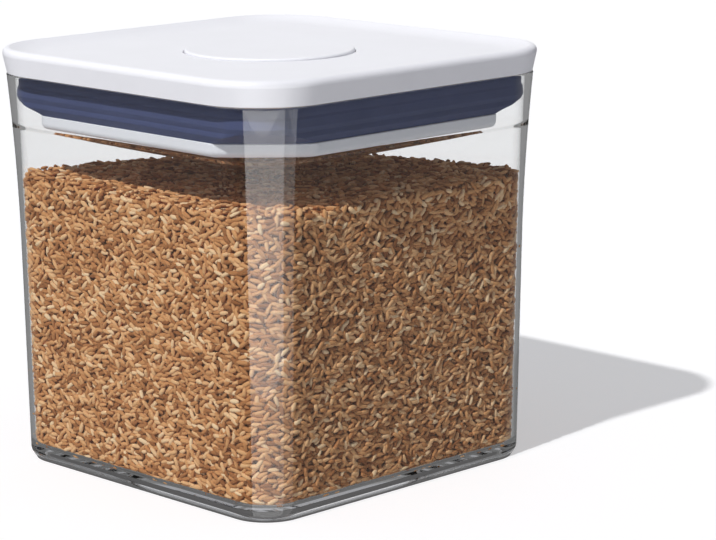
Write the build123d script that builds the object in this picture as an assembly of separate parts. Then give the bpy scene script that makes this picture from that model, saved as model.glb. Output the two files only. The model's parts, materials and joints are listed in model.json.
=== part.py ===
from build123d import *
from math import atan2, degrees, hypot, radians, sqrt, tan
import os

# Square food container with a push-button lid, in mm. The origin is the middle of the base on the
# surface it stands on, +Z is up. The button is pressed in at rest, so the seal is squeezed.

# Clear container. Widths are across the flats.
base_width = 143.4
base_corner_radius = 17
bottom_edge_radius = 4.5
foot_recess = 2.6
foot_width = 4.0
floor_thickness = 5.2
inner_edge_radius = 3.0
wall = 1.8
shoulder_height = 85
shoulder_growth = 1.6
flare_radius = 850
rim_height = 150.2
rim_wall = 3.3
rim_edge_radius = 0.6
seal_zone_height = 18.9
seal_zone_inset = 0.6
ledge_step = 0.7
ledge_drop = 3.4

# Lid cap. The overhang past the container's rim makes the lid 160 wide.
lid_overhang = 2.9
lid_corner_radius = 29.5
lid_top_rise = 9.8
lid_wall = 2.2
skirt_gap = 0.4
skirt_taper = 1.5
crown_width = 2.6
crown_height = 2.6
crown_edge_radius = 2.2
dish_width = 11.0
dish_depth = 2.2
well_edge_radius = 0.6

# Button
button_diameter = 64.5
button_proud = 0.9
button_wall = 2.2
button_edge_radius = 0.8
button_hollow = 0.5
button_border = 2.0
button_flange_width = 1.2
button_flange_height = 1.5

# Plug below the rim: a square with its corners cut off straight. The cut lies this much further from
# the middle than the sides do.
plug_cut = 12.0
plug_turn_radius = 5.0
plug_depth = 19.3
lip_height = 5.2
lip_edge_radius = 2.4
lip_top_radius = 0.5
lip_width = 5.8
frame_web = 1.2
bottom_cover_thickness = 1.2
guide_wall = 1.5
guide_wall_height = 6.5
cover_peg_radius = 2.0
cover_peg_reach = 45

# Inner housing
housing_plate = 2.2
housing_edge_gap = 0.6
plug_wall = 2.0
collar_wall = 2.0
mechanism_gap = 0.6
mechanism_cover_thickness = 2.2
mechanism_disc_radius = 24
mechanism_arm_width = 12
boss_radius = 3.5
housing_screw_inset = 5.5
housing_screw_spread = 22

# Gasket section
gasket_wall = 2.4
gasket_toe = 1.4
gasket_corner_slope = 24
gasket_rib_depth = 0.7
gasket_rib_radius = 1.2
gasket_rib_heights = (2.6, 6.3)
gasket_rib_pitch = 3.7
gasket_band_height = 9.2
gasket_band_step = 0.9

# Levers and their pins
lever_width = 8
lever_hub_radius = 3.2
lever_tip_radius = 1.6
lever_end_radius = 2.6
lever_outer_reach = 6.6
lever_end_room = 2.4
pivot_pin_radius = 1.5
lift_pin_radius = 1.2
ear_thickness = 3.0
post_thickness = 2.5
post_depth = 4.0
post_head = 2.4

# Push-push latch
cam_width = 11.4
cam_thickness = 6.0
cam_face = 3.6
cam_side_wall = 1.0
cam_socket_wall = 1.2
cam_socket_height = 1.2
track_depth = 1.8
track_shoulder = 3.6
heart_top = 2.0
heart_bottom = 12.0
heart_notch = 1.3
follower_offset = 1.5
follower_width = 2.6
follower_thickness = 1.6
follower_swing = 1.4
follower_pivot_rise = 2.5
follower_pin_radius = 0.8
follower_tip_radius = 0.8
latch_ear_thickness = 1.6
latch_ear_border = 0.5

# Return spring
spring_radius = 11
spring_wire = 1.4
spring_turns = 7
spring_seat_wall = 1.6
spring_seat_height = 1.5

# Screws
screw_radius = 1.45
screw_head_radius = 2.6
screw_head_height = 1.3
screw_socket_width = 2.0
screw_skin = 0.9
screw_length = 10.4

# Clearances
slide_gap = 0.4
side_gap = 0.3
pin_gap = 0.05
slot_gap = 0.1
screw_gap = 0.2
lip_gap = 0.5

# Container levels and half-widths
core = base_width / 2 - base_corner_radius
ledge_height = rim_height - seal_zone_height


def outer_half(z):
    """Half-width of the container's outside at height z."""
    draft = shoulder_growth / (shoulder_height - bottom_edge_radius)
    half = base_width / 2 + draft * (z - bottom_edge_radius)
    return half + max(0, z - shoulder_height) ** 2 / (2 * flare_radius)


def seal_half(z):
    """Half-width of the inside between the ledge and the rim, where the gasket bears."""
    rim_inside = outer_half(rim_height) - rim_wall
    return rim_inside - seal_zone_inset * (rim_height - z) / seal_zone_height


ledge_half = seal_half(ledge_height) - ledge_step

# Lid levels and half-widths
lid_half = outer_half(rim_height) + lid_overhang
lid_core = lid_half - lid_corner_radius
skirt_bottom = rim_height + skirt_gap
lid_top = rim_height + lid_top_rise
panel_top = lid_top - dish_depth
panel_low = panel_top - lid_wall
housing_top = rim_height + housing_plate

# Plug levels and half-widths
lip_bottom = rim_height - plug_depth
lip_top = lip_bottom + lip_height
web_low = lip_bottom + bottom_cover_thickness
web_top = web_low + frame_web
lip_half = ledge_half - lip_gap
plug_half = lip_half - lip_width - slide_gap
plug_inside = plug_half - plug_wall
guide_half = plug_inside - slide_gap
guide_inside = guide_half - guide_wall
cover_low = web_top + mechanism_gap
cover_top = cover_low + mechanism_cover_thickness
housing_screw_reach = guide_inside - housing_screw_inset

# Button levels and radii
button_radius = button_diameter / 2
well_radius = button_radius + slide_gap
flange_radius = button_radius + button_flange_width
collar_inside = flange_radius + slide_gap
collar_outside = collar_inside + collar_wall
cover_screw_radius = collar_outside + slide_gap + boss_radius
button_top = panel_top + button_proud
button_under = button_top - button_hollow - button_wall

# Lever geometry in the upright plane through a lid corner: distance from the middle, and height
tip_height = web_top + slide_gap + lever_tip_radius
tip_reach = flange_radius - lever_tip_radius
lift_reach = guide_inside + plug_cut - lever_end_radius - lever_end_room
pivot_reach = lift_reach - lever_outer_reach
lever_inner_reach = pivot_reach - tip_reach

# The button rises until its flange meets the lid. At rest the flange lies just over the lever tips.
flange_room = panel_low - tip_height - lever_tip_radius - button_flange_height - 2 * side_gap
button_travel = flange_room / (1 + lever_tip_radius / 2 / lever_inner_reach)
pivot_height = tip_height + button_travel / 2
lever_rise = button_travel / 2 / lever_inner_reach
lever_slope = degrees(atan2(button_travel / 2, lever_inner_reach))
frame_travel = 2 * lever_outer_reach * lever_rise
lift_height = pivot_height + frame_travel / 2
skirt_low = tip_height + lever_tip_radius + lever_tip_radius * lever_rise + side_gap

# Latch levels
cam_low = cover_top + side_gap
follower_pivot_height = cover_top + follower_pivot_rise
follower_tip_height = button_under - follower_width / 2 - slide_gap
follower_front = -cam_face - slide_gap
follower_back = follower_front - follower_thickness
latch_ear_front = follower_back - side_gap
latch_ear_back = latch_ear_front - latch_ear_thickness

corners = {"front_right": -45, "back_right": 45, "back_left": 135, "front_left": 225}


def section(edges, rounds=()):
    """Make an upright section from edges drawn as (x, z), then round the named points."""
    face = make_face(edges)
    for x, z, radius in rounds:
        face = fillet(face.vertices().sort_by_distance((x, z, 0))[0], radius)
    return Plane.XZ * face


def carry_round(profile, square):
    """Carry a section round a square with this half-width, and round its corners."""
    side = extrude(Pos(square, 0, 0) * profile, square, both=True)
    corner_axis = Axis((square, square, 0), (0, 0, 1))
    corner = revolve(Pos(square, square, 0) * profile, corner_axis, 90)
    return Part() + [Rot(0, 0, 90 * k) * piece for k in range(4) for piece in (side, corner)]


def slab(half, square, low, high):
    """Rounded square plate whose corners follow the same square as its neighbours."""
    outline = RectangleRounded(2 * half, 2 * half, half - square)
    return extrude(Pos(0, 0, low) * outline, high - low)


def plug_slab(half, low, high):
    """Square plate with its corners cut off straight, like everything in the plug."""
    cut = Rot(0, 0, 45) * Rectangle(2 * (half + plug_cut), 2 * (half + plug_cut))
    outline = Rectangle(2 * half, 2 * half) & cut
    outline = fillet(outline.vertices(), plug_turn_radius)
    return extrude(Pos(0, 0, low) * outline, high - low)


def plug_ring(outside, inside, low, high):
    return plug_slab(outside, low, high) - plug_slab(inside, low, high)


def rod(radius, low, high, x=0, y=0):
    return extrude(Pos(x, y, low) * Circle(radius), high - low)


def block(x, y, z):
    """Box from (low, high) pairs."""
    size = [high - low for low, high in (x, y, z)]
    middle = [(low + high) / 2 for low, high in (x, y, z)]
    return Pos(*middle) * Box(*size)


def cross_rod(radius, x, z, y_low, y_high):
    """Round bar along Y."""
    return extrude(Plane((x, y_high, z), z_dir=(0, -1, 0)) * Circle(radius), y_high - y_low)


def quarters(radius):
    """The four points on the X and Y axes at this radius."""
    return [(radius, 0), (0, radius), (-radius, 0), (0, -radius)]


def screw(x, y, seat, end):
    """Pan screw with its head under the seat and its shank up to the end."""
    head = rod(screw_head_radius, seat - screw_head_height, seat, x, y)
    socket = RegularPolygon(screw_socket_width / 2, 6)
    recess = extrude(Pos(x, y, seat - screw_head_height) * socket, screw_head_height / 2)
    return head - recess + rod(screw_radius, seat, end, x, y)


def container_body():
    half = base_width / 2
    shoulder = outer_half(shoulder_height)
    rim = outer_half(rim_height)
    middle_height = (shoulder_height + rim_height) / 2
    foot_outside = half - bottom_edge_radius
    foot_inside = foot_outside - foot_width
    floor_inside = outer_half(floor_thickness) - wall
    outline = [
        (shoulder, shoulder_height),
        (half, bottom_edge_radius),
        (half, 0),
        (foot_inside, 0),
        (foot_inside - foot_recess, foot_recess),
        (core, foot_recess),
        (core, floor_thickness),
        (floor_inside, floor_thickness),
        (ledge_half, ledge_height - ledge_drop),
        (seal_half(ledge_height), ledge_height),
        (rim - rim_wall, rim_height),
        (rim, rim_height),
    ]
    outline = [(x - core, z) for x, z in outline]
    flare_middle = (outer_half(middle_height) - core, middle_height)
    flare = ThreePointArc(outline[-1], flare_middle, outline[0])
    rounds = [
        (half - core, 0, bottom_edge_radius),
        (floor_inside - core, floor_thickness, inner_edge_radius),
        (rim - core, rim_height, rim_edge_radius),
        (rim - rim_wall - core, rim_height, rim_edge_radius),
    ]
    shell = carry_round(section([Polyline(*outline), flare], rounds), core)
    return shell + block((-core, core), (-core, core), (foot_recess, floor_thickness))


def lid_cap():
    half = lid_corner_radius
    low_half = half - skirt_taper
    crest = half - crown_width
    dish_foot = crest - dish_width
    sag = (dish_width**2 + dish_depth**2) / (2 * dish_depth)
    dish_middle = (crest - dish_width / 2, panel_top + sag - sqrt(sag**2 - (dish_width / 2) ** 2))
    dish = ThreePointArc((crest, lid_top), dish_middle, (dish_foot, panel_top))
    under_crest = low_half - lid_wall
    under_foot = dish_foot + lid_wall / 2
    under_middle = ((under_crest + under_foot) / 2, dish_middle[1] - lid_wall)
    under_top = lid_top - lid_wall
    crown_foot = lid_top - crown_height
    under = ThreePointArc((under_foot, panel_low), under_middle, (under_crest, under_top))
    edges = [
        dish,
        Polyline((dish_foot, panel_top), (0, panel_top), (0, panel_low), (under_foot, panel_low)),
        under,
        Polyline((under_crest, under_top), (under_crest, skirt_bottom), (low_half, skirt_bottom)),
        Polyline((low_half, skirt_bottom), (half, crown_foot), (half, lid_top), (crest, lid_top)),
    ]
    profile = section(edges, [(half, lid_top, crown_edge_radius)])
    cap = carry_round(profile, lid_core)
    cap += block((-lid_core, lid_core), (-lid_core, lid_core), (panel_low, panel_top))
    cap -= rod(well_radius, panel_low, panel_top)
    well_edge = cap.edges().filter_by(GeomType.CIRCLE).filter_by(
        lambda edge: abs(edge.radius - well_radius) < 0.01 and edge.center().Z > panel_top - 0.01
    )
    cap = fillet(well_edge, well_edge_radius)
    for x, y in housing_screw_places():
        cap += rod(boss_radius, housing_top, panel_low, x, y)
    for x, y in housing_screw_places():
        cap -= rod(screw_radius + pin_gap, housing_top, panel_top - screw_skin, x, y)
    return cap


def housing_screw_places():
    reach, spread = housing_screw_reach, housing_screw_spread
    pairs = [(reach, spread), (reach, -spread), (-reach, spread), (-reach, -spread)]
    return pairs + [(y, x) for x, y in pairs]


def lid_housing():
    """Inner shell: seat plate, plug wall, button collar, and the ears that hold the levers."""
    plate_half = lid_half - skirt_taper - lid_wall - housing_edge_gap
    housing = slab(plate_half, lid_core, rim_height, housing_top)
    housing += plug_ring(plug_half, plug_inside, web_top + side_gap, rim_height)
    housing += rod(collar_outside, cover_top, panel_low)
    housing -= rod(collar_inside, cover_top, panel_low)
    for x, y in quarters(cover_screw_radius):
        housing += rod(boss_radius, cover_top, rim_height, x, y)
        housing -= rod(screw_radius + pin_gap, cover_top, rim_height, x, y)
    for x, y in housing_screw_places():
        housing -= rod(screw_radius + screw_gap, rim_height, housing_top, x, y)
    gap_half = lever_width / 2 + side_gap
    slot_half = lever_width / 2 + lip_gap
    slot_reach = (collar_inside - collar_wall, (collar_outside + pivot_reach) / 2)
    slot = block(slot_reach, (-slot_half, slot_half), (cover_top, panel_low))
    ear = rod(lever_hub_radius, -ear_thickness / 2, ear_thickness / 2)
    ear = Pos(pivot_reach, 0, pivot_height) * Rot(90, 0, 0) * ear
    hub = lever_hub_radius
    ear += block(
        (pivot_reach - hub, pivot_reach + hub),
        (-ear_thickness / 2, ear_thickness / 2),
        (pivot_height, rim_height),
    )
    offset = gap_half + ear_thickness / 2
    ear_end = gap_half + ear_thickness
    bore = cross_rod(pivot_pin_radius + pin_gap, pivot_reach, pivot_height, -ear_end, ear_end)
    ears = Pos(0, offset, 0) * ear + Pos(0, -offset, 0) * ear - bore
    for angle in corners.values():
        housing -= Rot(0, 0, angle) * slot
        housing += Rot(0, 0, angle) * ears
    return housing


def gasket():
    """Hollow silicone ring, open towards the plug wall, with two ribs and a set-back upper band.
    Its corners reach out from the cut corners of the plug to the round corners of the container."""
    low, high = lip_top, rim_height
    band_low = low + gasket_band_height
    band_half = seal_half(band_low) - side_gap - gasket_band_step - core

    def rib_half(height):
        return seal_half(low + height) - side_gap - core

    outer = [(rib_half(0) - gasket_toe, low)]
    for height in gasket_rib_heights:
        foot = gasket_rib_pitch / 2
        valley = rib_half(height) - gasket_rib_depth
        outer += [(valley, low + height - foot), (rib_half(height), low + height)]
    outer += [(band_half + gasket_band_step / 2, band_low), (band_half, band_low + gasket_band_step)]
    outer += [(band_half, high), (0, high), (0, low)]
    ribs = [(rib_half(height), low + height, gasket_rib_radius) for height in gasket_rib_heights]
    ring = carry_round(section(Polyline(*outer, close=True), ribs), core)
    ring += block((-core, core), (-core, core), (low, high))
    ring -= plug_slab(plug_half + side_gap, low, high)
    hollow = slab(core + band_half - gasket_wall, core, low + gasket_wall, high - gasket_wall)
    for angle in corners.values():
        underside = Rot(0, 0, angle) * gasket_underside(low)
        ring -= underside
        hollow -= Pos(0, 0, gasket_wall) * underside
    return ring - hollow


def gasket_underside(low):
    """Wedge cut from under a corner, where the gasket rises from the lip's cut corner to the wall."""
    start, length = lip_half + plug_cut, lid_corner_radius
    rise = length * tan(radians(gasket_corner_slope))
    outline = Polyline((start, low), (start + length, low + rise), (start + length, low), close=True)
    return extrude(Plane.XZ * make_face(outline), core, both=True)


def compression_frame():
    """Lower frame: visible lip under the gasket, web, guide wall and the posts that the levers lift."""
    frame = plug_slab(lip_half, lip_bottom, lip_top)
    frame = fillet(frame.edges().group_by(Axis.Z)[0], lip_edge_radius)
    frame = fillet(frame.edges().group_by(Axis.Z)[-1], lip_top_radius)
    frame -= plug_slab(lip_half - lip_width, lip_bottom, lip_top)
    frame += plug_slab(lip_half - lip_width / 2, web_low, web_top)
    frame += plug_ring(guide_half, guide_inside, web_top, web_top + guide_wall_height)
    for x, y in quarters(cover_peg_reach):
        frame -= rod(cover_peg_radius + pin_gap, web_low, web_top, x, y)
    inner = lever_width / 2 + side_gap
    outer = inner + post_thickness
    reach = (lift_reach - post_depth / 2, lift_reach + post_depth / 2)
    top = lift_height + post_head
    posts = block(reach, (inner, outer), (web_top, top)) + block(reach, (-outer, -inner), (web_top, top))
    posts -= cross_rod(lift_pin_radius + pin_gap, lift_reach, lift_height, -outer, outer)
    for angle in corners.values():
        frame += Rot(0, 0, angle) * posts
    return frame


def bottom_cover():
    """Smooth plate that closes the underside of the lid, held by four pegs."""
    cover = plug_slab(lip_half - lip_width - side_gap, lip_bottom, web_low)
    for x, y in quarters(cover_peg_reach):
        cover += rod(cover_peg_radius, web_low, web_top, x, y)
    return cover


def button():
    """Round push button: shallow hollow on top, deep skirt, and a flange that stops it in the lid."""
    outline = [
        (0, button_top),
        (button_radius, button_top),
        (button_radius, skirt_low + button_flange_height),
        (flange_radius, skirt_low + button_flange_height),
        (flange_radius, skirt_low),
        (button_radius - button_wall, skirt_low),
        (button_radius - button_wall, button_under),
        (0, button_under),
    ]
    rounds = [(button_radius, button_top, button_edge_radius)]
    body = revolve(section(Polyline(*outline, close=True), rounds), Axis.Z)
    hollow_reach = button_radius - button_border
    hollow_radius = (hollow_reach**2 + button_hollow**2) / (2 * button_hollow)
    body -= Pos(0, 0, button_top - button_hollow + hollow_radius) * Sphere(hollow_radius)
    seat = spring_seat_ring(button_under - spring_seat_height, button_under)
    return body + seat + (cam_socket(cam_socket_wall) - cam_socket(pin_gap))


def cam_socket(border):
    """Low block round the back and sides of the latch cam, this much larger than the cam."""
    half = cam_width / 2 + border
    back = cam_thickness - cam_face + border
    return block((-half, half), (-cam_face, back), (button_under - cam_socket_height, button_under))


def spring_seat_ring(low, high):
    outside = spring_radius - spring_wire / 2 - slide_gap
    return rod(outside, low, high) - rod(outside - spring_seat_wall, low, high)


def return_spring():
    """Open coil spring between the mechanism cover and the button."""
    low = cover_top + spring_wire / 2
    length = button_under - cover_top - spring_wire
    path = Pos(0, 0, low) * Helix(length / spring_turns, length, spring_radius)
    ring = Plane(path @ 0, z_dir=path % 0) * Circle(spring_wire / 2)
    print("spring gap between turns", round(length / spring_turns - spring_wire, 2), "mm")
    return sweep(ring, path)


def mechanism_cover():
    """Cross-shaped plate under the button: carries the spring, and the latch follower's ear."""
    cover = rod(mechanism_disc_radius, cover_low, cover_top)
    arm = mechanism_arm_width / 2
    reach = cover_screw_radius + boss_radius
    cover += block((-reach, reach), (-arm, arm), (cover_low, cover_top))
    cover += block((-arm, arm), (-reach, reach), (cover_low, cover_top))
    for x, y in quarters(cover_screw_radius):
        cover -= rod(screw_head_radius + slide_gap, cover_low, cover_low + screw_head_height, x, y)
        cover -= rod(screw_radius + pin_gap, cover_low, cover_top, x, y)
    cover += spring_seat_ring(cover_top, cover_top + spring_seat_height)
    ear_half = follower_width / 2 + latch_ear_border
    ear = block(
        (follower_offset - ear_half, follower_offset + ear_half),
        (latch_ear_back, latch_ear_front),
        (cover_top, follower_pivot_height + ear_half),
    )
    ear -= cross_rod(
        follower_pin_radius + pin_gap,
        follower_offset,
        follower_pivot_height,
        latch_ear_back,
        latch_ear_front,
    )
    return cover + ear


def latch_cam():
    """Block under the button with the heart-shaped track of the push-push latch in its front."""
    block_x = (-cam_width / 2, cam_width / 2)
    body = block(block_x, (-cam_face, cam_thickness - cam_face), (cam_low, button_under))
    end = follower_tip_radius + side_gap
    side = follower_tip_radius + lip_gap
    swing, travel = follower_swing, button_travel
    left = -cam_width / 2 + cam_side_wall - follower_offset
    pocket = [
        (swing + side, end),
        (left, end),
        (left, -track_shoulder),
        (-swing - side, -travel - end),
        (-swing + side, -travel - end),
    ]

    def release_side(depth):
        return swing - 2 * swing * depth / travel - side

    island = [
        (release_side(heart_top), -heart_top),
        (release_side(heart_top) - heart_notch, -heart_top - heart_notch),
        (release_side(heart_top) - 2 * heart_notch, -heart_top + heart_notch / 2),
        (left + 2 * side, -track_shoulder),
        (release_side(heart_bottom) - heart_notch / 2, -heart_bottom),
        (release_side(heart_bottom), -heart_bottom),
    ]
    track = make_face(Polyline(*pocket, close=True)) - make_face(Polyline(*island, close=True))
    origin = (follower_offset, -cam_face, follower_tip_height)
    plane = Plane(origin, x_dir=(1, 0, 0), z_dir=(0, -1, 0))
    return body - extrude(plane * track, -track_depth)


def latch_follower():
    """Small lever whose pin runs in the cam's track."""
    tip = (follower_offset + follower_swing, follower_tip_height)
    pivot = (follower_offset, follower_pivot_height)
    reach, rise = tip[0] - pivot[0], tip[1] - pivot[1]
    arm = SlotCenterToCenter(hypot(reach, rise), follower_width)
    arm = Pos(pivot[0] + reach / 2, pivot[1] + rise / 2) * Rot(0, 0, degrees(atan2(rise, reach))) * arm
    body = extrude(Plane.XZ.offset(-follower_front) * arm, follower_thickness)
    body -= cross_rod(
        follower_pin_radius + pin_gap, *pivot, follower_back, follower_front
    )
    pin_end = -cam_face + track_depth - slide_gap
    return body + cross_rod(follower_tip_radius, *tip, follower_back, pin_end)


def latch_pin():
    return cross_rod(
        follower_pin_radius,
        follower_offset,
        follower_pivot_height,
        latch_ear_back,
        follower_front + side_gap / 2,
    )


def lever():
    """Rocker in the upright plane: tip under the button, hub on its pin, forked end under the lift pin."""
    hub = (Pos(pivot_reach, pivot_height) * Circle(lever_hub_radius)).edges()
    tip = (Pos(tip_reach, tip_height) * Circle(lever_tip_radius)).edges()
    end = (Pos(lift_reach, lift_height) * Circle(lever_end_radius)).edges()
    side = make_hull(hub + tip) + make_hull(hub + end)
    side -= Pos(pivot_reach, pivot_height) * Circle(pivot_pin_radius + pin_gap)
    slot = SlotCenterToCenter(slide_gap, 2 * (lift_pin_radius + slot_gap))
    side -= Pos(lift_reach, lift_height) * Rot(0, 0, lever_slope) * slot
    return extrude(Plane.XZ * side, lever_width / 2, both=True)


def pivot_pin():
    half = lever_width / 2 + side_gap + ear_thickness
    return cross_rod(pivot_pin_radius, pivot_reach, pivot_height, -half, half)


def lift_pin():
    half = lever_width / 2 + side_gap + post_thickness
    return cross_rod(lift_pin_radius, lift_reach, lift_height, -half, half)


def housing_screws():
    end = panel_top - screw_skin - side_gap
    return Compound([screw(x, y, rim_height, end) for x, y in housing_screw_places()])


def cover_screws():
    seat = cover_low + screw_head_height
    places = quarters(cover_screw_radius)
    return Compound([screw(x, y, seat, seat + screw_length) for x, y in places])


pieces = {
    "container_body": container_body(),
    "lid_cap": lid_cap(),
    "lid_housing": lid_housing(),
    "gasket": gasket(),
    "compression_frame": compression_frame(),
    "bottom_cover": bottom_cover(),
    "button": button(),
    "return_spring": return_spring(),
    "mechanism_cover": mechanism_cover(),
    "latch_cam": latch_cam(),
    "latch_follower": latch_follower(),
    "latch_pin": latch_pin(),
    "housing_screws": housing_screws(),
    "cover_screws": cover_screws(),
}
for corner_name, angle in corners.items():
    turn = Rot(0, 0, angle)
    pieces["lever_" + corner_name] = turn * lever()
    pieces["pivot_pin_" + corner_name] = turn * pivot_pin()
    pieces["lift_pin_" + corner_name] = turn * lift_pin()

os.makedirs("parts", exist_ok=True)
for name, piece in pieces.items():
    export_step(piece, f"parts/{name}.step")
print("lever pivot", round(pivot_reach, 3), round(pivot_height, 3), "slope", round(lever_slope, 3))
print("lift pin", round(lift_reach, 3), round(lift_height, 3), "frame travel", round(frame_travel, 4))
print("lever tip", round(tip_reach, 3), round(tip_height, 3), "button travel", round(button_travel, 4))
print("follower pivot", follower_offset, round(follower_pivot_height, 3))
print("follower arm", round(follower_tip_height - follower_pivot_height, 3))
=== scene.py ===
"""Food storage container with a push-button lid: its looks, lights and camera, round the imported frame."""

import json
import math

import bpy
import numpy as np
from mathutils import Matrix, Vector


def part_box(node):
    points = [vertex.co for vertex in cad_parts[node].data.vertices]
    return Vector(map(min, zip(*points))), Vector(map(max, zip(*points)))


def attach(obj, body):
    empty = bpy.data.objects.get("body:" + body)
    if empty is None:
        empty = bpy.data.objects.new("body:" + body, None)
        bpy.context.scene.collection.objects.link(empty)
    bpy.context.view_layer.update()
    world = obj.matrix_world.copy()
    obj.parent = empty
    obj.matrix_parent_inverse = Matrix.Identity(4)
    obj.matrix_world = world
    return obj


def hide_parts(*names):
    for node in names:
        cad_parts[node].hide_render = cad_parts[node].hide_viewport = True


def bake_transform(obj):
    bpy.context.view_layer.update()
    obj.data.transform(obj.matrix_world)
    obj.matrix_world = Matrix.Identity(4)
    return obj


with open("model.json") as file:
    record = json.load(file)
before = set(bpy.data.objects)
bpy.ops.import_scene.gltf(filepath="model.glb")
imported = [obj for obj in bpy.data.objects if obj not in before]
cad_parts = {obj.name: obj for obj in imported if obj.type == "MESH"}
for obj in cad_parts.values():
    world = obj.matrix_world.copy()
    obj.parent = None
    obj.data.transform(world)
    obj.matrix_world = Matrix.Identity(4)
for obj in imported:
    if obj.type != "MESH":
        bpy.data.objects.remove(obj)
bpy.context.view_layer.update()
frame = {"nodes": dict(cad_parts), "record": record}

MM = 0.001

# Container, in millimetres. Widths are across the flats.
BASE_WIDTH = 143.4
BASE_CORNER_RADIUS = 17
BOTTOM_EDGE_RADIUS = 4.5
FOOT_RECESS = 2.6
FOOT_WIDTH = 4.0
FLOOR_THICKNESS = 5.2
INNER_EDGE_RADIUS = 3.0
WALL = 1.8
SHOULDER_HEIGHT = 85
SHOULDER_GROWTH = 1.6
DRAFT = SHOULDER_GROWTH / (SHOULDER_HEIGHT - BOTTOM_EDGE_RADIUS)
FLARE_RADIUS = 850
RIM_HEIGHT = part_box("container_body")[1].z / MM
RIM_WALL = 3.3
RIM_EDGE_RADIUS = 0.6
SEAL_ZONE_HEIGHT = 18.9
SEAL_ZONE_INSET = 0.6
LEDGE_STEP = 0.7
LEDGE_DROP = 1.7
LEDGE_EDGE_RADIUS = 2.5
LEDGE_HEIGHT = RIM_HEIGHT - SEAL_ZONE_HEIGHT
# Distance of the upright corners' centres from both middle planes
CORE = BASE_WIDTH / 2 - BASE_CORNER_RADIUS

# Plug: a square with its corners cut off straight, this much further from the middle than the sides
PLUG_CUT = 12.0
PLUG_TURN_RADIUS = 5.0
LIP_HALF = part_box("compression_frame")[1].x / MM
LIP_WIDTH = 5.8
PLUG_SLIDE_GAP = 0.4

# Gasket, in millimetres, with the slope of its corners in radians
GASKET_WALL = 2.4
GASKET_TOE = 1.4
GASKET_CORNER_SLOPE = math.radians(24)
GASKET_RIB_DEPTH = 0.7
GASKET_RIB_RADIUS = 1.2
GASKET_RIB_HEIGHTS = (2.6, 6.3)
GASKET_RIB_PITCH = 3.7
GASKET_VALLEY_RADIUS = 0.4
GASKET_BAND_HEIGHT = 9.2
GASKET_BAND_STEP = 0.9
GASKET_BAND_RADIUS = 0.2
GASKET_GAP = 0.3

# Straight steps in the curves. The arcs round the upright corners need an even number of them, because
# a cut corner shares them out over its two turns.
ARC_STEPS = 20
EDGE_STEPS = 6
GASKET_EDGE_STEPS = 4
FLARE_STEPS = 14

# Camera, fitted to the outline of the lid, the walls and the base. Lengths in metres, lens in millimetres.
CAMERA_TURN = math.radians(45.118)
CAMERA_RISE = math.radians(11.847)
CAMERA_ROLL = math.radians(-0.249)
CAMERA_DISTANCE = 1.0654
CAMERA_LENS = 139.41
SENSOR_WIDTH = 36
CAMERA_NEAR = 0.05
CAMERA_FAR = 50
TARGET_HEIGHT = 0.07276
TARGET_SIDE = 0.03299

# Light: a lamp like a small sun, pale surroundings and a pale floor
KEY_TURN = math.radians(8.2)
KEY_RISE = math.radians(49)
KEY_SIZE = math.radians(1.5)
KEY_STRENGTH = 2.72
SKY_LIGHT = (0.212, 0.216, 0.244)
FLOOR_COLOUR = 0.68
FLOOR_PALER_COLOUR = FLOOR_COLOUR * 1.01
FLOOR_LIFT = 0.42
FLOOR_REACH = 8.0
LIGHT_BOUNCES = 24
TRANSPARENT_BOUNCES = 32

# Limit between no glossy bounce and one
NO_BOUNCE_LIMIT = 0.5

# What is mirrored inside the clear plastic: share of the floor's colour, of its lift and of the white sky
MIRRORED_COLOUR = 0.15
MIRRORED_LIFT = 0.45
MIRRORED_SKY = 0.22

# Upright studio cards that only reflections see: name, strength, side and depth of both ends, and the
# heights of both edges. Side is to the right and depth away from the camera, from the middle of the
# object, in metres.
CARDS = (
    ("dark_card_left", 0.1, (-0.128, 0.1), (-0.14, -0.1), (0, 0.17)),
    ("dark_card_left_front", 0.1, (-0.14, -0.1), (-0.1135, -0.247), (0, 0.17)),
    ("front_card", 5.5, (-0.1135, -0.247), (0.149, -0.247), (0.09, 0.17)),
    ("front_card_low", 4.0, (-0.1135, -0.247), (0.149, -0.247), (0, 0.09)),
    ("front_card_edge", 2.2, (0.149, -0.247), (0.151, -0.15), (0.09, 0.17)),
    ("front_card_edge_low", 1.4, (0.149, -0.247), (0.151, -0.15), (0, 0.09)),
    ("dark_card_right", 0.1, (0.151, -0.15), (0.128, 0.1), (0, 0.17)),
)

# The same cards carried on over the floor up to the container: name, strength, corners
FLOOR_CARDS = (
    ("dark_floor_left", 0.1, (
        (-0.006, -0.095), (-0.094, -0.0065), (-0.128, 0.1), (-0.14, -0.1), (-0.1135, -0.247),
    )),
    ("bright_floor", 2.4, ((-0.006, -0.095), (-0.1135, -0.247), (0.149, -0.247), (0.007, -0.095))),
    ("bright_floor_edge", 1.0, ((0.007, -0.095), (0.149, -0.247), (0.151, -0.15), (0.0106, -0.093))),
    ("dark_floor_right", 0.1, ((0.0106, -0.093), (0.151, -0.15), (0.128, 0.1), (0.094, -0.0065))),
)
CARD_LIFT = 0.0003

# Dim card right under the foot, half its width in millimetres
FOOT_CARD_HALF = 71.2
FOOT_CARD_STRENGTH = 0.15

# Painted shade under the foot, in millimetres: a dim glowing layer with a thin edge under the foot, and a
# pad that fills its recess
FOOT_SHADE_HEIGHT = 0.05
FOOT_SHADE_HALF = 69.6
PAD_FOOT_HALF = 60.0
PAD_HALF = 59.4
PAD_HEIGHT = 2.4
# Glow of the painted shade under the foot and under the grain
FOOT_SHADE_GLOW = 0.11

# Painted shade between the grain and the container's floor: a dim glowing layer, in millimetres
GRAIN_FLOOR_SHADE_HEIGHT = 5.3
GRAIN_FLOOR_SHADE_HALF = 66.4

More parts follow.
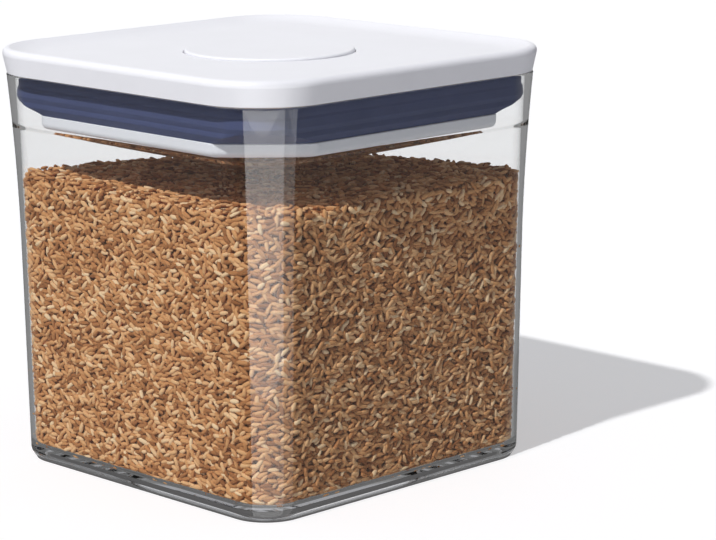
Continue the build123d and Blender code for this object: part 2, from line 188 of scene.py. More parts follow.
# Dry grain inside, in millimetres
GRAIN_LENGTH = 4.5
GRAIN_WIDTH = 1.8
GRAIN_DEPTH = 1.5
GRAIN_RINGS = 4
GRAIN_SIDES = 7
GRAIN_BLUNTNESS = 0.8
GRAIN_TAPER = 0.12
GRAIN_SIZE_SPREAD = 0.08
GRAIN_SIZE_LIMITS = (0.8, 1.2)
GRAIN_LEVEL = 111.5
GRAIN_LAYERS = 3
GRAIN_LAYER_STEP = 1.2
GRAIN_SEED = 7

# Shifts of the grains from a brick pattern, as a share of its columns and rows
GRAIN_JITTER = 0.3

# Layers of grain against the walls. Columns and rows are shares of a grain's length and width, and
# angles are in radians.
WALL_GAP = 0.15
WALL_COLUMN = 0.74
WALL_ROW = 0.8
WALL_SCATTER = (-0.1, 0.5)
WALL_TOP_GAP = 1.0
WALL_TILT = 0.7
WALL_TILT_LEAST = 0.1
WALL_TURN = 0.12
WALL_TURN_GROWTH = 0.1

# Layers of grain on top, and the dark block behind all layers, whose dark colour is painted shade for the
# depth between the grains
TOP_COLUMN = 0.8
TOP_ROW = 0.95
TOP_SCATTER = 0.8
TOP_TURN = 0.2
HEART_GAP = 0.5

# Colours as a screen shows them, from 0 to 255
WHITE_PLASTIC = (246, 246, 250)
INNER_PLASTIC = (226, 226, 229)
LEVER_PLASTIC = (196, 198, 204)

# The same for the grain, each with its position from 0 to 1
GRAIN_SHADES = (
    (0.0, (150, 96, 56)),
    (0.25, (196, 136, 86)),
    (0.6, (222, 166, 112)),
    (0.85, (240, 192, 140)),
    (1.0, (248, 216, 172)),
)
GRAIN_DEEP_SHADES = ((0.0, (124, 54, 18)), (0.6, (200, 110, 48)), (1.0, (226, 150, 80)))
# Painted shade of the block behind the grain, darker than any grain
GRAIN_GAP_PAINTED_SHADE = ((0.35, (50, 30, 18)), (0.7, (96, 62, 38)))

# Linear colours of the darker and the paler patches of a surface, and where they lie in its noise
CLEAR_TINTS = ((0.952, 0.955, 0.953), (0.96, 0.963, 0.961))
SILICONE_SHADES = ((0.056, 0.071, 0.16), (0.065, 0.08, 0.176))
STEEL_SHADES = ((0.5, 0.5, 0.52), (0.66, 0.66, 0.68))
# Painted shade: tones of the dim glowing layers under the foot and the grain
FOOT_SHADE_TONES = ((0.9, 0.88, 0.89), (1.0, 0.97, 0.98))
CARD_SHADES = ((0.97, 0.97, 0.97), (1.0, 1.0, 1.0))
PATCH_PLACES = (0.3, 0.7)

# Opaque plastic: its darker patches as a share of its colour, and the spread of its roughness
MOTTLE_SHARE = 0.97
ROUGHNESS_SPREAD = 0.04

# Clear plastic: linear tint of the light that passes straight through it, and its refraction
PASSING_TINT = (0.94, 0.95, 0.95)
PLASTIC_IOR = 1.5

# Heights in metres and strengths of the satin texture and of the waves in the clear plastic
SATIN_HEIGHT = 0.00001
SATIN_STRENGTH = 0.3
WAVE_HEIGHT = 0.00006
WAVE_STRENGTH = 0.25


def outer_half(z):
    """Half-width of the container's outside at height z."""
    half = BASE_WIDTH / 2 + DRAFT * (z - BOTTOM_EDGE_RADIUS)
    return half + max(0, z - SHOULDER_HEIGHT) ** 2 / (2 * FLARE_RADIUS)


def seal_half(z):
    """Half-width of the inside between the ledge and the rim."""
    return outer_half(RIM_HEIGHT) - RIM_WALL - SEAL_ZONE_INSET * (RIM_HEIGHT - z) / SEAL_ZONE_HEIGHT


def rounded_outline(points, steps=EDGE_STEPS):
    """Closed outline through (x, z, radius) corners, each rounded with short straight steps."""
    outline = []
    for k, (x, z, radius) in enumerate(points):
        corner = Vector((x, z))
        if not radius:
            outline.append(corner)
            continue
        before = Vector(points[k - 1][:2]) - corner
        after = Vector(points[(k + 1) % len(points)][:2]) - corner
        before.normalize()
        after.normalize()
        half_angle = before.angle(after) / 2
        middle = corner + (before + after).normalized() * radius / math.sin(half_angle)
        start = corner + before * radius / math.tan(half_angle) - middle
        end = corner + after * radius / math.tan(half_angle) - middle
        sweep = start.angle_signed(end)
        for step in range(steps + 1):
            outline.append(middle + Matrix.Rotation(-sweep * step / steps, 2) @ start)
    return outline


def square_ring(half, z):
    """Points of a rounded square round the container's corner centres, counter-clockwise."""
    points = []
    for quarter in range(4):
        turn = Matrix.Rotation(quarter * math.pi / 2, 2)
        side = turn @ Vector((half, -CORE))
        points.append((side.x, side.y, z))
        for step in range(ARC_STEPS):
            angle = step / ARC_STEPS * math.pi / 2
            offset = Vector((math.cos(angle), math.sin(angle))) * (half - CORE)
            corner = turn @ (Vector((CORE, CORE)) + offset)
            points.append((corner.x, corner.y, z))
    return points


def cut_ring(half, cut_reach, z):
    """Points of a square with straight cut corners, in the same order as square_ring gives them."""
    turn_point = cut_reach * math.sqrt(2) - half
    tangent = PLUG_TURN_RADIUS * math.tan(math.pi / 8)
    half_steps = ARC_STEPS // 2
    points = []
    for quarter in range(4):
        turn = Matrix.Rotation(quarter * math.pi / 2, 2)
        places = [Vector((half, tangent - turn_point))]
        first = Vector((half - PLUG_TURN_RADIUS, turn_point - tangent))
        second = Vector((turn_point - tangent, half - PLUG_TURN_RADIUS))
        for step in range(half_steps):
            angle = step / (half_steps - 1) * math.pi / 4
            places.append(first + Vector((math.cos(angle), math.sin(angle))) * PLUG_TURN_RADIUS)
        for step in range(half_steps):
            angle = (1 + step / half_steps) * math.pi / 4
            places.append(second + Vector((math.cos(angle), math.sin(angle))) * PLUG_TURN_RADIUS)
        for place in places:
            place = turn @ place
            points.append((place.x, place.y, z))
    return points


def put_in_scene(name, data):
    """New object in the scene that shows a mesh, lamp or camera."""
    made = bpy.data.objects.new(name, data)
    bpy.context.scene.collection.objects.link(made)
    return made


def loft(name, rings, closed, caps=()):
    """Smooth mesh through rings of points in millimetres. caps names the rings that get a flat face."""
    count = len(rings[0])
    points = [Vector(point) * MM for ring in rings for point in ring]
    faces = []
    bands = len(rings) if closed else len(rings) - 1
    for band in range(bands):
        low, high = band * count, (band + 1) % len(rings) * count
        for k in range(count):
            after = (k + 1) % count
            faces.append((low + k, low + after, high + after, high + k))
    for ring, flip in caps:
        face = [ring * count + k for k in range(count)]
        faces.append(face[::-1] if flip else face)
    mesh = bpy.data.meshes.new(name)
    mesh.from_pydata(points, [], faces)
    mesh.shade_smooth()
    piece = put_in_scene(name, mesh)
    piece.modifiers.new("flat faces stay flat", "WEIGHTED_NORMAL")
    return piece


def flat_face(name, corners, material):
    """One flat face through corners in metres."""
    mesh = bpy.data.meshes.new(name)
    mesh.from_pydata(corners, [], [tuple(range(len(corners)))])
    mesh.materials.append(material)
    return put_in_scene(name, mesh)


def feed(tree, socket, value):
    """Link a socket to another node's output, or set it to a plain value."""
    if isinstance(value, bpy.types.NodeSocket):
        tree.links.new(value, socket)
    else:
        socket.default_value = value


def calculate(tree, operation, *values):
    """Output of a new Math node that is fed with these values."""
    made = tree.nodes.new("ShaderNodeMath")
    made.operation = operation
    for socket, value in zip(made.inputs, values):
        feed(tree, socket, value)
    return made.outputs[0]


class Material:
    """A node material with short calls for the nodes that the surfaces below share."""

    def __init__(self, name):
        self.material = bpy.data.materials.new(name)
        self.material.use_nodes = True
        self.tree = self.material.node_tree
        self.tree.nodes.clear()
        self.output = self.node("ShaderNodeOutputMaterial")

    def node(self, kind, **inputs):
        """Add a node, and set or link its inputs."""
        made = self.tree.nodes.new(kind)
        for key, value in inputs.items():
            feed(self.tree, made.inputs[key.replace("_", " ")], value)
        return made

    def noise(self, scale, detail=3.0):
        """Noise over the object's own coordinates."""
        place = self.node("ShaderNodeTexCoord").outputs["Object"]
        made = self.node("ShaderNodeTexNoise", Vector=place, Scale=scale, Detail=detail)
        return made.outputs["Fac"]

    def ramp(self, factor, stops):
        """Colour ramp through (position, colour) stops."""
        made = self.node("ShaderNodeValToRGB", Fac=factor)
        elements = made.color_ramp.elements
        while len(elements) < len(stops):
            elements.new(1.0)
        for element, (position, colour) in zip(elements, stops):
            element.position = position
            element.color = (*colour, 1.0)
        return made.outputs["Color"]

    def patches(self, factor, shades):
        """Darker and paler patches."""
        return self.ramp(factor, tuple(zip(PATCH_PLACES, shades)))

    def between(self, factor, low, high):
        """Number from low to high as the factor goes from 0 to 1."""
        made = self.node("ShaderNodeMapRange", Value=factor)
        made.inputs["To Min"].default_value = low
        made.inputs["To Max"].default_value = high
        return made.outputs["Result"]

    def bump(self, height, distance, strength):
        """Normal that leans with the height."""
        made = self.node("ShaderNodeBump", Height=height, Distance=distance, Strength=strength)
        return made.outputs["Normal"]

    def satin(self, scale):
        """Normal of a fine satin texture."""
        return self.bump(self.noise(scale, detail=2), SATIN_HEIGHT, SATIN_STRENGTH)

    def mixed(self, factor, first, second):
        """Shader that goes from the first to the second as the factor goes from 0 to 1."""
        made = self.node("ShaderNodeMixShader", Fac=factor)
        feed(self.tree, made.inputs[1], first.outputs[0])
        feed(self.tree, made.inputs[2], second.outputs[0])
        return made

    def finish(self, shader):
        """Show the shader on the surface."""
        feed(self.tree, self.output.inputs["Surface"], shader.outputs[0])
        return self.material


def linear(colour):
    """Linear colour from 0-255 display values, each above 10."""
    return tuple(((value / 255 + 0.055) / 1.055) ** 2.4 for value in colour)


def linear_stops(stops):
    """Stops of a ramp with their display colours made linear."""
    return tuple((position, linear(colour)) for position, colour in stops)


def moulded_plastic(name, colour, roughness):
    """Opaque moulded plastic: faint mottling, uneven gloss and a fine satin texture."""
    m = Material(name)
    mottle = m.noise(35, detail=4)
    paler = linear(colour)
    darker = tuple(MOTTLE_SHARE * value for value in paler)
    shader = m.node(
        "ShaderNodeBsdfPrincipled",
        Base_Color=m.patches(mottle, (darker, paler)),
        Roughness=m.between(mottle, roughness - ROUGHNESS_SPREAD, roughness + ROUGHNESS_SPREAD),
        Specular_IOR_Level=0.3,
        Normal=m.satin(2600),
    )
    return m.finish(shader)


def clear_plastic():
    """Clear moulded plastic with slight waviness. Light passes straight through it to what is inside."""
    m = Material("clear_plastic")
    wave = m.noise(14, detail=1)
    shader = m.node(
        "ShaderNodeBsdfPrincipled",
        Base_Color=m.patches(wave, CLEAR_TINTS),
        Roughness=m.between(m.noise(60), 0.0, 0.02),
        IOR=PLASTIC_IOR,
        Transmission_Weight=1.0,
        Normal=m.bump(wave, WAVE_HEIGHT, WAVE_STRENGTH),
    )
    passing = m.node("ShaderNodeBsdfTransparent", Color=(*PASSING_TINT, 1.0))
    path = m.node("ShaderNodeLightPath").outputs
    straight = calculate(m.tree, "MAXIMUM", path["Is Shadow Ray"], path["Is Diffuse Ray"])
    return m.finish(m.mixed(straight, shader, passing))


def silicone():
    """Dark blue silicone, satin, a little dusty."""
    m = Material("silicone")
    mottle = m.noise(90, detail=4)
    shader = m.node(
        "ShaderNodeBsdfPrincipled",
        Base_Color=m.patches(mottle, SILICONE_SHADES),
        Roughness=m.between(mottle, 0.42, 0.55),
        Specular_IOR_Level=0.14,
        Normal=m.satin(1800),
    )
    return m.finish(shader)


def steel():
    """Bright steel with fine scratches."""
    m = Material("steel")
    scratch = m.noise(900, detail=5)
    shader = m.node(
        "ShaderNodeBsdfPrincipled",
        Base_Color=m.patches(scratch, STEEL_SHADES),
        Metallic=1.0,
        Roughness=m.between(scratch, 0.22, 0.38),
    )
    return m.finish(shader)


def grain_skin():
    """Brown grain, each one its own shade. Light that passes from grain to grain turns deeper brown."""
    m = Material("grain")
    each = m.node("ShaderNodeNewGeometry").outputs["Random Per Island"]
    shader = m.node(
        "ShaderNodeBsdfPrincipled",
        Base_Color=m.ramp(each, linear_stops(GRAIN_SHADES)),
        Roughness=m.between(m.noise(700), 0.4, 0.6),
        Specular_IOR_Level=0.02,
    )
    deep = m.node("ShaderNodeBsdfDiffuse", Color=m.ramp(each, linear_stops(GRAIN_DEEP_SHADES)))
    path = m.node("ShaderNodeLightPath").outputs
    return m.finish(m.mixed(path["Is Diffuse Ray"], shader, deep))


def painted_gap_shade():
    """Painted shade: dark brown block for the shaded depth between the grains."""
    m = Material("painted_gap_shade")
    shade = m.ramp(m.noise(500), linear_stops(GRAIN_GAP_PAINTED_SHADE))
    return m.finish(m.node("ShaderNodeBsdfPrincipled", Base_Color=shade, Roughness=0.9))


def floor_paint():
    """Pale floor that keeps the shadow. What the camera sees directly or through the walls is lifted
    to white, and what is mirrored inside a clear wall is dim."""
    m = Material("floor")
    straight, mirrored = see_through(m.tree)
    seen = calculate(m.tree, "MAXIMUM", see_directly(m.tree), straight)
    share = calculate(m.tree, "MULTIPLY_ADD", mirrored, MIRRORED_LIFT, seen)
    lift = calculate(m.tree, "MULTIPLY", share, FLOOR_LIFT)
    shades = ((FLOOR_COLOUR,) * 3, (FLOOR_PALER_COLOUR,) * 3)
    paint = m.node("ShaderNodeBsdfDiffuse", Color=m.patches(m.noise(3), shades))
    dim = m.node("ShaderNodeBsdfDiffuse", Color=(*(FLOOR_COLOUR * MIRRORED_COLOUR,) * 3, 1.0))
    both = m.node("ShaderNodeAddShader")
    feed(m.tree, both.inputs[0], m.mixed(mirrored, paint, dim).outputs[0])
    feed(m.tree, both.inputs[1], m.node("ShaderNodeEmission", Strength=lift).outputs[0])
    return m.finish(both)


def glow(name, strength, scale, shades):
    """Material that glows by itself, a little uneven."""
    m = Material(name)
    shade = m.patches(m.noise(scale), shades)
    return m.finish(m.node("ShaderNodeEmission", Color=shade, Strength=strength))


def see_directly(tree):
    """Factor for what the camera sees directly or mirrored on an outside surface.

    Light that passes through clear plastic counts as glossy too, so only its reflections are taken.
    """
    path = tree.nodes.new("ShaderNodeLightPath").outputs
    mirror = calculate(tree, "MULTIPLY", path["Is Glossy Ray"], path["Is Reflection Ray"])
    return calculate(tree, "MAXIMUM", path["Is Camera Ray"], mirror)


def see_through(tree):
    """Two factors for light that comes through clear plastic: seen straight through it, or mirrored in it.

    A mirror image inside the plastic has at least one glossy bounce on its way.
    """
    path = tree.nodes.new("ShaderNodeLightPath").outputs
    factors = []
    for comparison in ("LESS_THAN", "GREATER_THAN"):
        bounces = calculate(tree, comparison, path["Glossy Depth"], NO_BOUNCE_LIMIT)
        factors.append(calculate(tree, "MULTIPLY", bounces, path["Is Transmission Ray"]))
    return factors


def container_shell():
    """Clear body: foot, drafted walls, flared mouth, and the ledge inside it."""
    half = BASE_WIDTH / 2
    foot_inside = half - BOTTOM_EDGE_RADIUS - FOOT_WIDTH
    floor_inside = outer_half(FLOOR_THICKNESS) - WALL
    ledge_half = seal_half(LEDGE_HEIGHT) - LEDGE_STEP
    rim = outer_half(RIM_HEIGHT)
    heights = [
        SHOULDER_HEIGHT + (RIM_HEIGHT - SHOULDER_HEIGHT) * step / FLARE_STEPS for step in range(FLARE_STEPS)
    ]
    corners = [
        (CORE, FOOT_RECESS, 0),
        (foot_inside - FOOT_RECESS, FOOT_RECESS, RIM_EDGE_RADIUS),
        (foot_inside, 0, RIM_EDGE_RADIUS),
        (half, 0, BOTTOM_EDGE_RADIUS),
        *[(outer_half(z), z, 0) for z in heights],
        (rim, RIM_HEIGHT, RIM_EDGE_RADIUS),
        (rim - RIM_WALL, RIM_HEIGHT, RIM_EDGE_RADIUS),
        (seal_half(LEDGE_HEIGHT), LEDGE_HEIGHT, LEDGE_EDGE_RADIUS),
        (ledge_half, LEDGE_HEIGHT - LEDGE_DROP, LEDGE_EDGE_RADIUS),
        (floor_inside, FLOOR_THICKNESS, INNER_EDGE_RADIUS),
        (CORE, FLOOR_THICKNESS, 0),
    ]
    rings = [square_ring(x, z) for x, z in rounded_outline(corners)]
    rings[0] = square_ring(CORE + RIM_EDGE_RADIUS, FOOT_RECESS)
    rings[-1] = square_ring(CORE + RIM_EDGE_RADIUS, FLOOR_THICKNESS)
    shell = loft("container_shell", rings, closed=False, caps=((0, True), (len(rings) - 1, False)))
    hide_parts("container_body")
    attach(shell, "container")
    return shell


def sweep_corners(rings, low):
    """Raise what lies under a slope that starts at the lip's cut corners, so the corners sweep outwards.

    The first ring lies on the line where the slopes start, and the next ones go up the outside.
    """
    start = LIP_HALF + PLUG_CUT

    def clearance(point):
        reach = (abs(point.x) + abs(point.y)) / math.sqrt(2)
        return point.z - low - max(0, reach - start) * math.tan(GASKET_CORNER_SLOPE)

    for column in range(len(rings[0])):
        under = 1
        while clearance(rings[under][column]) < 0:
            under += 1
        if under == 1:
            continue
        below, above = rings[under - 1][column], rings[under][column]
        part = clearance(above) / (clearance(above) - clearance(below))
        meeting = above.lerp(below, part)
        foot = rings[0][column]
        for ring in range(1, under):
            rings[ring][column] = foot.lerp(meeting, ring / under)


def gasket_ring():
    """Hollow ribbed ring, open towards the plug wall. The real one squeezes as the frame rises; this mesh
    keeps one shape.
    """
    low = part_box("gasket")[0].z / MM

    def rib_half(height):
        return seal_half(low + height) - GASKET_GAP

    band_low = low + GASKET_BAND_HEIGHT
    band_half = rib_half(GASKET_BAND_HEIGHT) - GASKET_BAND_STEP
    inside = LIP_HALF - LIP_WIDTH - PLUG_SLIDE_GAP + GASKET_GAP
    corners = [(rib_half(0) - GASKET_TOE, low, 0)]
    for height in GASKET_RIB_HEIGHTS:
        valley = rib_half(height) - GASKET_RIB_DEPTH
        corners.append((valley, low + height - GASKET_RIB_PITCH / 2, GASKET_VALLEY_RADIUS))
        corners.append((rib_half(height), low + height, GASKET_RIB_RADIUS))
    corners += [
        (band_half + GASKET_BAND_STEP / 2, band_low, GASKET_BAND_RADIUS),
        (band_half, band_low + GASKET_BAND_STEP, GASKET_BAND_RADIUS),
        (band_half, RIM_HEIGHT, 0),
    ]
    outer = [square_ring(x, z) for x, z in rounded_outline(corners, GASKET_EDGE_STEPS)]
    foot = cut_ring(rib_half(0) - GASKET_TOE - PLUG_SLIDE_GAP, LIP_HALF + PLUG_CUT, low)
    rings = [[Vector(point) for point in ring] for ring in [foot, *outer]]
    sweep_corners(rings, low)
    lining_half = LIP_HALF - GASKET_WALL
    for half, z in (
        (inside, RIM_HEIGHT),
        (inside, RIM_HEIGHT - GASKET_WALL),
        (lining_half, RIM_HEIGHT - GASKET_WALL),
        (lining_half, low + GASKET_WALL),
        (inside, low + GASKET_WALL),
        (inside, low),
    ):
        rings.append(cut_ring(half, half + PLUG_CUT, z))
    ring = loft("gasket_ring", rings, closed=True)
    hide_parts("gasket")
    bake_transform(ring)
    return ring


def grain_places(count_along, count_up, draw):
    """Jittered brick pattern: positions from 0 to 1 along and up."""
    along, up = np.meshgrid(np.arange(count_along), np.arange(count_up), indexing="ij")
    along = along + 0.5 * (up % 2) + draw.uniform(-GRAIN_JITTER, GRAIN_JITTER, along.shape)
    up = up + 0.5 + draw.uniform(-GRAIN_JITTER, GRAIN_JITTER, up.shape)
    return (along / count_along % 1.0).ravel(), (up / count_up).ravel()


def grain_shape():
    """One grain lying along X: unit points and faces, blunt at one end."""
    points = [(-1, 0, 0)]
    for k in range(1, GRAIN_RINGS + 1):
        angle = math.pi * k / (GRAIN_RINGS + 1)
        x = -math.cos(angle)
        radius = math.sin(angle) ** GRAIN_BLUNTNESS * (1 - GRAIN_TAPER * x)
        for side in range(GRAIN_SIDES):
            turn = 2 * math.pi * side / GRAIN_SIDES
            points.append((x, radius * math.cos(turn), radius * math.sin(turn)))
    points.append((1, 0, 0))
    faces = []
    for side in range(GRAIN_SIDES):
        after = (side + 1) % GRAIN_SIDES
        faces.append((0, 1 + after, 1 + side))
        for k in range(GRAIN_RINGS - 1):
            first, second = 1 + k * GRAIN_SIDES, 1 + (k + 1) * GRAIN_SIDES
            faces.append((first + side, first + after, second + after))
            faces.append((first + side, second + after, second + side))
        last = 1 + (GRAIN_RINGS - 1) * GRAIN_SIDES
        faces.append((last + side, last + after, len(points) - 1))
    return np.array(points, float), np.array(faces)


def layer_inset(layer):
    """Distance from the walls to the middle of the grains of a layer."""
    return GRAIN_DEPTH / 2 + WALL_GAP + layer * GRAIN_LAYER_STEP


def grain_half(inset):
    """Half-width at this distance from the walls, half way up the grain."""
    return outer_half(GRAIN_LEVEL / 2) - WALL - inset


def wall_places(along, inset):
    """Places on the inside of the walls, along its round from 0 to 1, and the angles they face."""
    half = grain_half(inset)
    radius = half - CORE
    side, arc = 2 * CORE, radius * math.pi / 2
    path = along * 4 * (side + arc)
    quarter = np.floor(path / (side + arc))
    rest = path - quarter * (side + arc)
    on_arc = rest > side
    angle = np.where(on_arc, (rest - side) / radius, 0.0)
    x = np.where(on_arc, CORE + radius * np.cos(angle), half)
    y = np.where(on_arc, CORE + radius * np.sin(angle), rest - CORE)
    turn = quarter * math.pi / 2
    place = np.stack([x * np.cos(turn) - y * np.sin(turn), x * np.sin(turn) + y * np.cos(turn)], axis=1)
    return place, angle + turn


def wall_layer(layer, bottom, draw):
    """Grains of one layer against the walls: centres, lengthwise directions and outward directions."""
    inset = layer_inset(layer)
    perimeter = 8 * CORE + 2 * math.pi * (grain_half(inset) - CORE)
    columns = round(perimeter / (GRAIN_LENGTH * WALL_COLUMN))
    rows = round((GRAIN_LEVEL - bottom) / (GRAIN_WIDTH * WALL_ROW))
    along, up = grain_places(columns, rows, draw)
    height = bottom + up * (GRAIN_LEVEL - WALL_TOP_GAP - bottom)
    below_round = np.clip(FLOOR_THICKNESS + INNER_EDGE_RADIUS - height, 0, INNER_EDGE_RADIUS)
    round_inset = INNER_EDGE_RADIUS - np.sqrt(INNER_EDGE_RADIUS**2 - below_round**2)
    scatter = draw.uniform(*WALL_SCATTER, along.shape)
    place, facing = wall_places(along, inset + round_inset + scatter)
    outward = np.stack([np.cos(facing), np.sin(facing), np.zeros_like(facing)], axis=1)
    tangent = np.stack([-np.sin(facing), np.cos(facing), np.zeros_like(facing)], axis=1)
    drift = (height - GRAIN_LEVEL / 2) * DRAFT
    centre = np.column_stack([place, height]) + outward * drift[:, None]
    freedom = np.clip((height - bottom) / GRAIN_LENGTH, WALL_TILT_LEAST, 1)
    tilt = draw.normal(0, WALL_TILT, along.shape) * freedom
    lengthwise = tangent * np.cos(tilt)[:, None]
    lengthwise[:, 2] += np.sin(tilt)
    turn = draw.normal(0, WALL_TURN + WALL_TURN_GROWTH * layer, along.shape)
    lengthwise += outward * turn[:, None]
    return centre, lengthwise, outward


def top_layer(layer, draw):
    """Grains of one layer on top: centres, lengthwise directions and outward directions."""
    half = grain_half(layer_inset(layer))
    columns = round(2 * half / (GRAIN_LENGTH * TOP_COLUMN))
    rows = round(2 * half / (GRAIN_WIDTH * TOP_ROW))
    along, up = grain_places(columns, rows, draw)
    x, y = (along * 2 - 1) * half, (up * 2 - 1) * half
    corner = np.hypot(np.maximum(abs(x) - CORE, 0), np.maximum(abs(y) - CORE, 0))
    keep = corner < half - CORE
    x, y = x[keep], y[keep]
    level = GRAIN_LEVEL - layer * GRAIN_LAYER_STEP + draw.uniform(-TOP_SCATTER, TOP_SCATTER, x.shape)
    turn = draw.uniform(0, math.pi, x.shape)
    lift = draw.normal(0, TOP_TURN, x.shape)
    centre = np.column_stack([x, y, level])
    lengthwise = np.column_stack([np.cos(turn), np.sin(turn), lift])
    outward = np.tile([0.0, 0.0, 1.0], (len(x), 1))
    return centre, lengthwise, outward


def contents():
    """The dry grain that stands in the container in the photograph. It isn't part of the object."""
    draw = np.random.default_rng(GRAIN_SEED)
    bottom = FLOOR_THICKNESS + GRAIN_DEPTH / 2
    layers = []
    for layer in range(GRAIN_LAYERS):
        layers.append(wall_layer(layer, bottom, draw))
        layers.append(top_layer(layer, draw))
    centre, first, outward = (np.concatenate(parts) for parts in zip(*layers))
    first /= np.linalg.norm(first, axis=1)[:, None]
    second = np.cross(outward, first)
    second /= np.linalg.norm(second, axis=1)[:, None]
    third = np.cross(first, second)
    size = draw.normal(1.0, GRAIN_SIZE_SPREAD, (len(centre), 3)).clip(*GRAIN_SIZE_LIMITS)
    size *= np.array([GRAIN_LENGTH, GRAIN_WIDTH, GRAIN_DEPTH]) / 2
    points, faces = grain_shape()
    scaled = points[None] * size[:, None]
    axes = np.stack([first, second, third], axis=1)
    places = np.einsum("nij,njk->nik", scaled, axes) + centre[:, None]
    indices = faces[None] + (np.arange(len(centre)) * len(points))[:, None, None]
    mesh = bpy.data.meshes.new("grain")
    fill_mesh(mesh, places.reshape(-1, 3) * MM, indices.reshape(-1, 3))
    mesh.materials.append(grain_skin())
    grain = put_in_scene("grain", mesh)
    depth = GRAIN_LAYERS * GRAIN_LAYER_STEP + HEART_GAP
    rings = [square_ring(outer_half(z) - WALL - depth, z) for z in (bottom, GRAIN_LEVEL - depth)]
    # Block behind the layers, dark with painted shade for the depth between the grains
    heart = loft("grain_heart", rings, closed=False, caps=((0, True), (1, False)))
    heart.data.materials.append(painted_gap_shade())


def fill_mesh(mesh, points, triangles):
    """Fill a mesh quickly with points in metres and triangles."""
    mesh.vertices.add(len(points))
    mesh.vertices.foreach_set("co", points.astype(np.float32).ravel())
    mesh.loops.add(triangles.size)
    mesh.loops.foreach_set("vertex_index", triangles.astype(np.int32).ravel())
    mesh.polygons.add(len(triangles))
    mesh.polygons.foreach_set("loop_start", np.arange(len(triangles), dtype=np.int32) * 3)
    mesh.update(calc_edges=True)
    mesh.shade_smooth()


def dress_nodes():
    """Give every carried-over node the procedural material of its slot."""
    finishes = {
        "white_plastic": moulded_plastic("white_plastic", WHITE_PLASTIC, 0.4),
        "inner_plastic": moulded_plastic("inner_plastic", INNER_PLASTIC, 0.55),
        "lever_plastic": moulded_plastic("lever_plastic", LEVER_PLASTIC, 0.5),
        "silicone": silicone(),
        "steel": steel(),
        "clear_plastic": clear_plastic(),
    }
    for part in frame["record"]["subparts"]:
        materials = frame["nodes"][part["node"]].data.materials
        materials.clear()
        materials.append(finishes[part["material_slot"]])
    container_shell().data.materials.append(finishes["clear_plastic"])
    gasket_ring().data.materials.append(finishes["silicone"])


def floor():
    """Pale floor, far wider than the picture."""
    corners = [(x * FLOOR_REACH, y * FLOOR_REACH, 0) for x, y in ((-1, -1), (1, -1), (1, 1), (-1, 1))]
    ground = flat_face("floor", corners, floor_paint())


def direction(turn, rise):
    """Unit vector away from the object: turned from its front to its right, and raised."""
    return Vector((
        math.sin(turn) * math.cos(rise),
        -math.cos(turn) * math.cos(rise),
        math.sin(rise),
    ))


def lights():
    """The one lamp."""
    sun = bpy.data.lights.new("key", "SUN")
    sun.energy = KEY_STRENGTH
    sun.angle = KEY_SIZE
    key = put_in_scene("key", sun)
    key.rotation_mode = "QUATERNION"
    key.rotation_quaternion = direction(KEY_TURN, KEY_RISE).to_track_quat("Z", "Y")


def sky():
    """Pale surroundings: white to the camera and in reflections, softer as a light."""
    world = bpy.data.worlds.new("studio")
    bpy.context.scene.world = world
    world.use_nodes = True
    tree = world.node_tree
    tree.nodes.clear()
    straight, mirrored = see_through(tree)
    inside = calculate(tree, "MULTIPLY_ADD", mirrored, MIRRORED_SKY, straight)
    seen = calculate(tree, "MAXIMUM", see_directly(tree), inside)
    mix = tree.nodes.new("ShaderNodeMixShader")
    feed(tree, mix.inputs["Fac"], seen)
    for socket, colour in ((mix.inputs[1], SKY_LIGHT), (mix.inputs[2], (1.0, 1.0, 1.0))):
        background = tree.nodes.new("ShaderNodeBackground")
        background.inputs["Color"].default_value = (*colour, 1.0)
        feed(tree, socket, background.outputs[0])
    feed(tree, tree.nodes.new("ShaderNodeOutputWorld").inputs["Surface"], mix.outputs[0])


def painted_foot_shade():
    """Painted shade: dim glowing layers under the container and under the grain, almost hidden from
    outside. The dark band that the clear foot shows is this painted shade."""
    rings = [
        square_ring(FOOT_SHADE_HALF, FOOT_SHADE_HEIGHT),
        square_ring(PAD_FOOT_HALF, FOOT_SHADE_HEIGHT),
        square_ring(PAD_HALF, PAD_HEIGHT),
    ]
    pad = loft("painted_foot_shade", rings, closed=False, caps=((2, False),))
    grain_floor_shade_rings = [square_ring(half, GRAIN_FLOOR_SHADE_HEIGHT) for half in (GRAIN_FLOOR_SHADE_HALF, PAD_HALF)]
    painted_grain_floor_shade = loft("painted_grain_floor_shade", grain_floor_shade_rings, closed=False, caps=((1, False),))
    # Painted shade: both layers glow dimly in place of real shade
    dim = glow("painted_foot_shade", FOOT_SHADE_GLOW, 40, FOOT_SHADE_TONES)
    pad.data.materials.append(dim)
    painted_grain_floor_shade.data.materials.append(dim)


def stage_place(side, depth, height):
    """Point to the right of the middle of the object, away from the camera and up."""
    right = Vector((math.cos(CAMERA_TURN), math.sin(CAMERA_TURN), 0))
    away = Vector((-math.sin(CAMERA_TURN), math.cos(CAMERA_TURN), 0))
    return right * side + away * depth + Vector((0, 0, height))


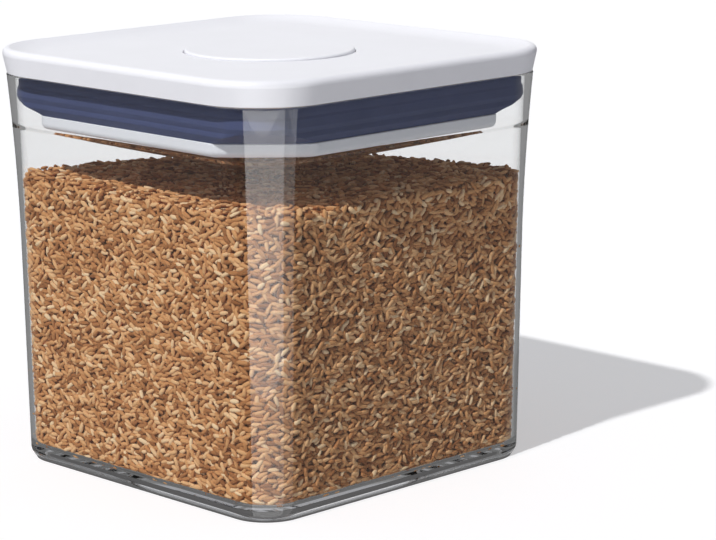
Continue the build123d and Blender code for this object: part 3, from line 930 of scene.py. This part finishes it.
def card(name, strength, corners):
    """One glowing studio card. Only mirror reflections see it."""
    panel = flat_face(name, corners, glow(name, strength, 2, CARD_SHADES))
    panel.visible_camera = False
    panel.visible_diffuse = False
    panel.visible_transmission = False
    panel.visible_shadow = False
    panel.visible_volume_scatter = False


def cards():
    """Cards round the object, on the floor in front of it and under its foot, as in a studio."""
    for name, strength, first, second, (low, high) in CARDS:
        foot = [stage_place(*end, low) for end in (first, second)]
        top = [stage_place(*end, high) for end in (second, first)]
        card(name, strength, foot + top)
    for name, strength, corners in FLOOR_CARDS:
        card(name, strength, [stage_place(*corner, CARD_LIFT) for corner in corners])
    under_foot = square_ring(FOOT_CARD_HALF, CARD_LIFT / MM)
    card("dark_foot_card", FOOT_CARD_STRENGTH, [Vector(point) * MM for point in under_foot])


def camera():
    """Camera at the photograph's viewing angle."""
    back = direction(CAMERA_TURN, CAMERA_RISE)
    right = Vector((math.cos(CAMERA_TURN), math.sin(CAMERA_TURN), 0))
    up = back.cross(right)
    across = math.cos(CAMERA_ROLL) * right + math.sin(CAMERA_ROLL) * up
    upward = math.cos(CAMERA_ROLL) * up - math.sin(CAMERA_ROLL) * right
    target = Vector((0, 0, TARGET_HEIGHT)) + right * TARGET_SIDE
    lens = bpy.data.cameras.new("camera")
    lens.lens = CAMERA_LENS
    lens.sensor_width = SENSOR_WIDTH
    lens.clip_start = CAMERA_NEAR
    lens.clip_end = CAMERA_FAR
    eye = put_in_scene("camera", lens)
    eye.matrix_world = Matrix.Translation(target + back * CAMERA_DISTANCE) @ Matrix((
        (across.x, upward.x, back.x),
        (across.y, upward.y, back.y),
        (across.z, upward.z, back.z),
    )).to_4x4()
    bpy.context.scene.camera = eye


scene = bpy.context.scene
scene.view_settings.view_transform = "Standard"
scene.cycles.max_bounces = LIGHT_BOUNCES
scene.cycles.glossy_bounces = LIGHT_BOUNCES
scene.cycles.transmission_bounces = LIGHT_BOUNCES
scene.cycles.transparent_max_bounces = TRANSPARENT_BOUNCES

dress_nodes()
contents()
floor()
painted_foot_shade()
lights()
sky()
cards()
camera()
